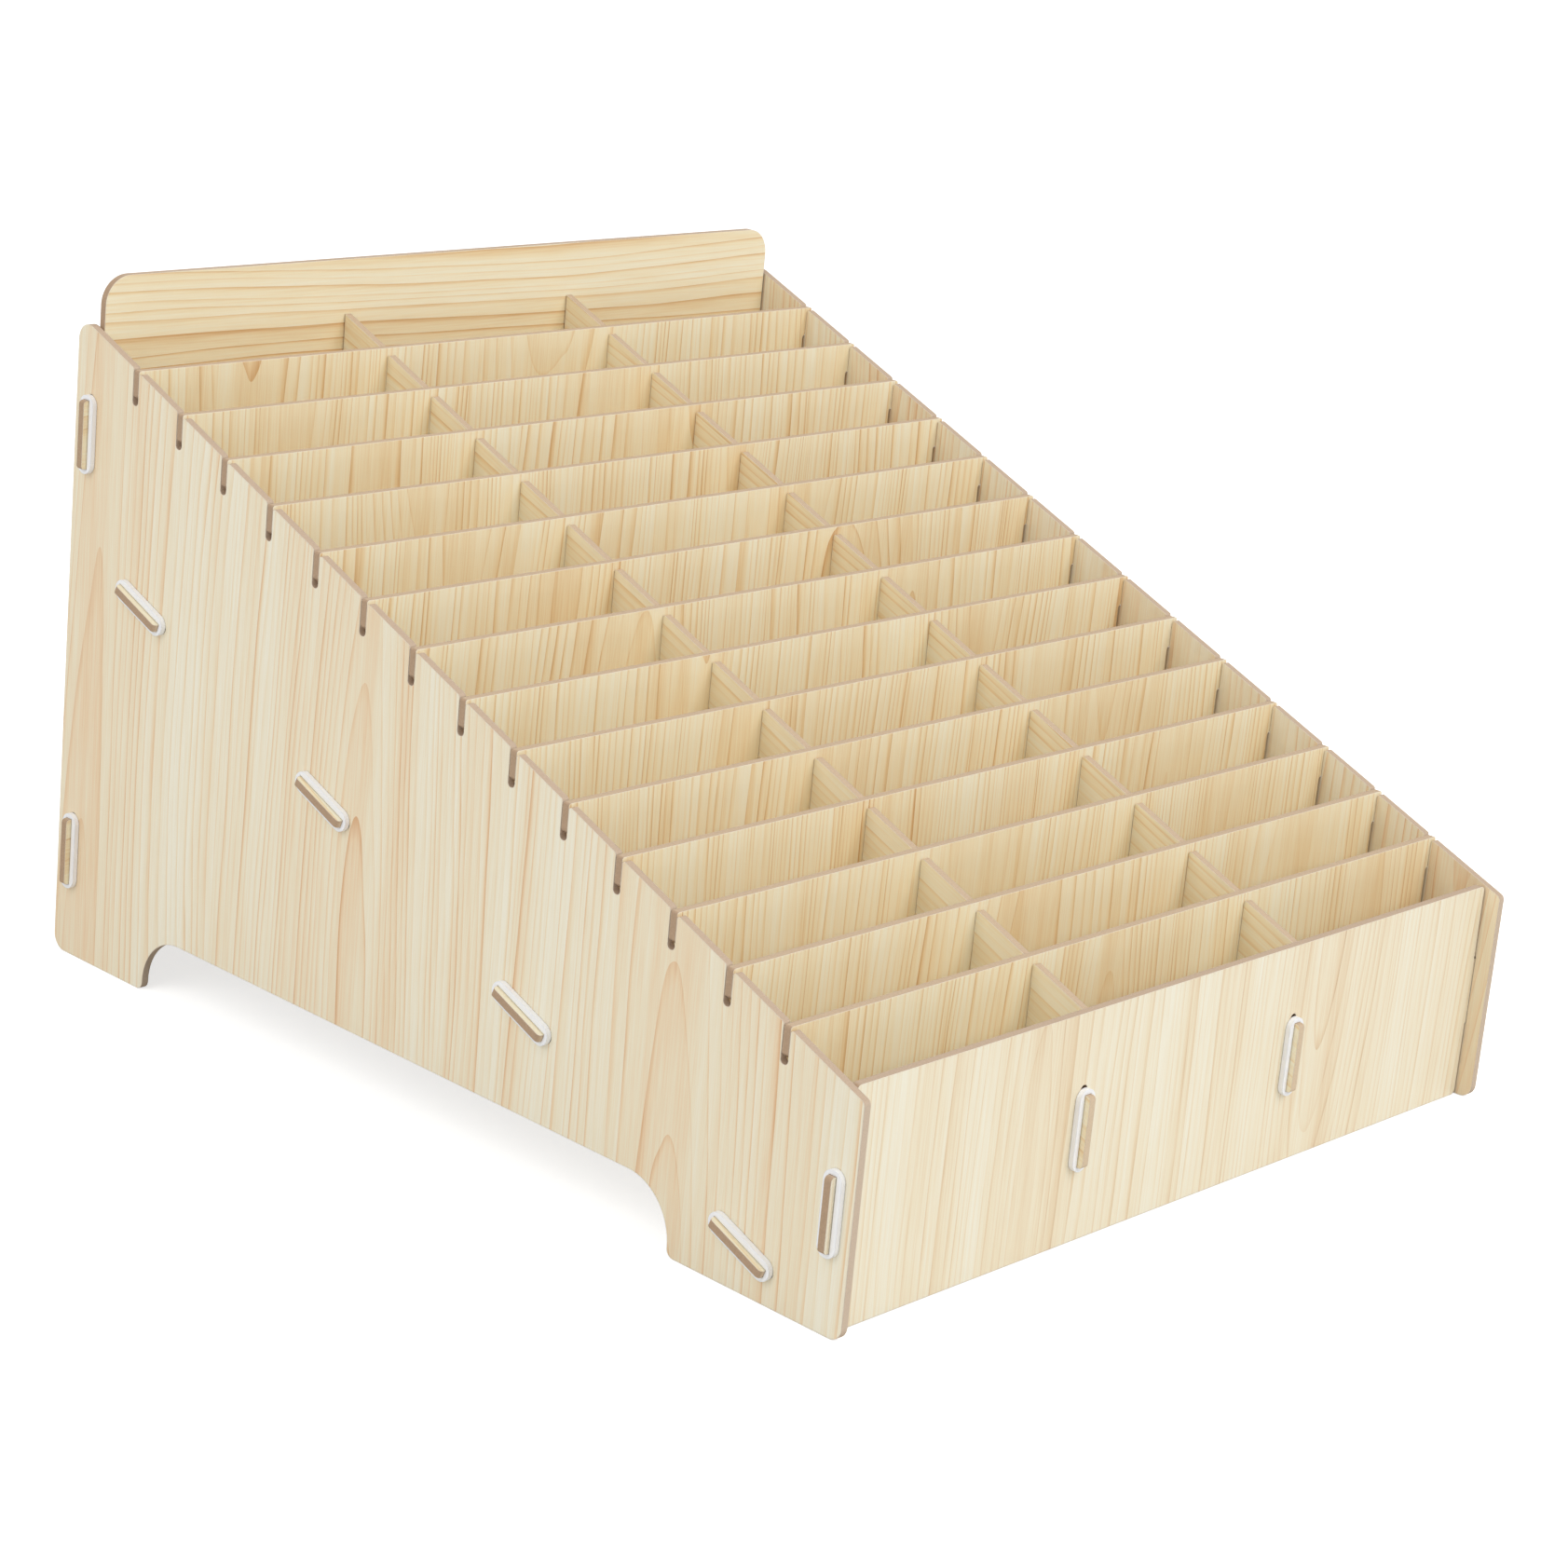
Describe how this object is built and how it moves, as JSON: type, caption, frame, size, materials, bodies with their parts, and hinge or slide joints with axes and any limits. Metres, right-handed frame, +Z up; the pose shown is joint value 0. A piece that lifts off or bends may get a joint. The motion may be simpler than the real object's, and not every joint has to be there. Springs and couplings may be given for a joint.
{
  "type": "compartment organizer",
  "caption": "Free-standing stepped storage rack of thin wood-film boards, with tabbed panels held by lock rings, a sloped floor, and lift-out dividers that make rows of upright compartments.",
  "frame": {"origin": "on the table, below the middle of the overall box", "axes": "+Z up, +Y from the low front towards the tall back, +X to the right seen from the front"},
  "size_m": [0.3016, 0.344, 0.2177],
  "materials": {
    "film_board": "fibreboard faced with satin pine-print film, bare brown sawn edges",
    "ring_plastic": "white moulded plastic"
  },
  "bodies": {
    "rack": {"left_side_panel": "film_board", "right_side_panel": "film_board", "front_panel": "film_board", "back_panel": "film_board", "sloped_floor": "film_board", "column_divider_1": "film_board", "column_divider_2": "film_board", "left_ring_floor_1": "ring_plastic", "left_ring_floor_2": "ring_plastic", "left_ring_floor_3": "ring_plastic", "left_ring_floor_4": "ring_plastic", "left_ring_front": "ring_plastic", "left_ring_back_lower": "ring_plastic", "left_ring_back_upper": "ring_plastic", "right_ring_floor_1": "ring_plastic", "right_ring_floor_2": "ring_plastic", "right_ring_floor_3": "ring_plastic", "right_ring_floor_4": "ring_plastic", "right_ring_front": "ring_plastic", "right_ring_back_lower": "ring_plastic", "right_ring_back_upper": "ring_plastic", "front_ring_column_1": "ring_plastic", "front_ring_column_2": "ring_plastic", "back_ring_column_1": "ring_plastic", "back_ring_column_2": "ring_plastic"},
    "row_divider_01": {"row_divider_01": "film_board"},
    "row_divider_02": {"row_divider_02": "film_board"},
    "row_divider_03": {"row_divider_03": "film_board"},
    "row_divider_04": {"row_divider_04": "film_board"},
    "row_divider_05": {"row_divider_05": "film_board"},
    "row_divider_06": {"row_divider_06": "film_board"},
    "row_divider_07": {"row_divider_07": "film_board"},
    "row_divider_08": {"row_divider_08": "film_board"},
    "row_divider_09": {"row_divider_09": "film_board"},
    "row_divider_10": {"row_divider_10": "film_board"},
    "row_divider_11": {"row_divider_11": "film_board"},
    "row_divider_12": {"row_divider_12": "film_board"},
    "row_divider_13": {"row_divider_13": "film_board"},
    "row_divider_14": {"row_divider_14": "film_board"}
  },
  "joints": [
    {"name": "row_divider_01_lift", "type": "slide", "parent": "rack", "child": "row_divider_01", "axis": [0, 0, 1], "range_m": [0, 0.07]},
    {"name": "row_divider_02_lift", "type": "slide", "parent": "rack", "child": "row_divider_02", "axis": [0, 0, 1], "range_m": [0, 0.07]},
    {"name": "row_divider_03_lift", "type": "slide", "parent": "rack", "child": "row_divider_03", "axis": [0, 0, 1], "range_m": [0, 0.07]},
    {"name": "row_divider_04_lift", "type": "slide", "parent": "rack", "child": "row_divider_04", "axis": [0, 0, 1], "range_m": [0, 0.07]},
    {"name": "row_divider_05_lift", "type": "slide", "parent": "rack", "child": "row_divider_05", "axis": [0, 0, 1], "range_m": [0, 0.07]},
    {"name": "row_divider_06_lift", "type": "slide", "parent": "rack", "child": "row_divider_06", "axis": [0, 0, 1], "range_m": [0, 0.07]},
    {"name": "row_divider_07_lift", "type": "slide", "parent": "rack", "child": "row_divider_07", "axis": [0, 0, 1], "range_m": [0, 0.07]},
    {"name": "row_divider_08_lift", "type": "slide", "parent": "rack", "child": "row_divider_08", "axis": [0, 0, 1], "range_m": [0, 0.07]},
    {"name": "row_divider_09_lift", "type": "slide", "parent": "rack", "child": "row_divider_09", "axis": [0, 0, 1], "range_m": [0, 0.07]},
    {"name": "row_divider_10_lift", "type": "slide", "parent": "rack", "child": "row_divider_10", "axis": [0, 0, 1], "range_m": [0, 0.07]},
    {"name": "row_divider_11_lift", "type": "slide", "parent": "rack", "child": "row_divider_11", "axis": [0, 0, 1], "range_m": [0, 0.07]},
    {"name": "row_divider_12_lift", "type": "slide", "parent": "rack", "child": "row_divider_12", "axis": [0, 0, 1], "range_m": [0, 0.07]},
    {"name": "row_divider_13_lift", "type": "slide", "parent": "rack", "child": "row_divider_13", "axis": [0, 0, 1], "range_m": [0, 0.07]},
    {"name": "row_divider_14_lift", "type": "slide", "parent": "rack", "child": "row_divider_14", "axis": [0, 0, 1], "range_m": [0, 0.07]}
  ]
}
